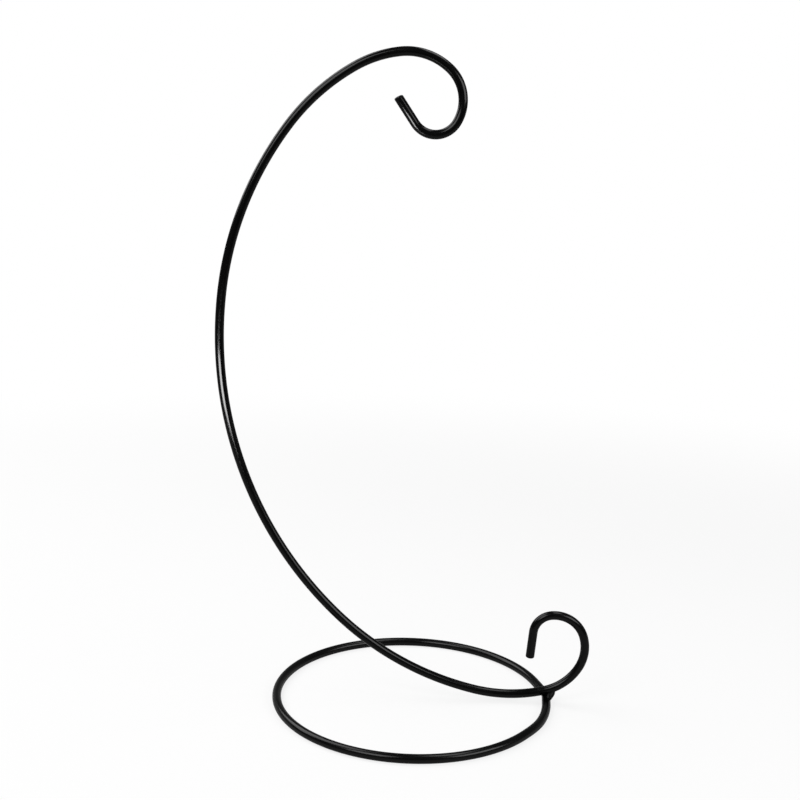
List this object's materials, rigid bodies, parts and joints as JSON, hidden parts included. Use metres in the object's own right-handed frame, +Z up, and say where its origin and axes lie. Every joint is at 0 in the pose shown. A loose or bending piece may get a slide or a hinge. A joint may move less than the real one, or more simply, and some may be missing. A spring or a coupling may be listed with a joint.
{
  "type": "ornament stand",
  "caption": "Tabletop stand of bent black rod: a tall crescent arm with a hook at its top and a small scroll at its foot, welded across a flat ring that rests on the table.",
  "frame": {"origin": "on the table under the middle of the whole stand's box", "axes": "+Z up; +X from the arm's back towards its scroll, in the arm's plane; +Y from the side the stand is seen from to its far side"},
  "size_m": [0.3618, 0.2682, 0.6124],
  "materials": {
    "arm_enamel": "satin black enamel over bent mild steel rod",
    "ring_enamel": "satin black enamel over rolled mild steel rod",
    "seam_weld_enamel": "black enamel over a weld bead, ground level underneath",
    "arm_weld_outer_enamel": "black enamel over a rippled weld bead",
    "arm_weld_back_enamel": "black enamel over a rippled weld bead"
  },
  "bodies": {
    "root": {"arm_rod": "arm_enamel", "base_ring": "ring_enamel", "ring_seam_weld": "seam_weld_enamel", "arm_weld_outer": "arm_weld_outer_enamel", "arm_weld_back": "arm_weld_back_enamel"}
  },
  "joints": []
}
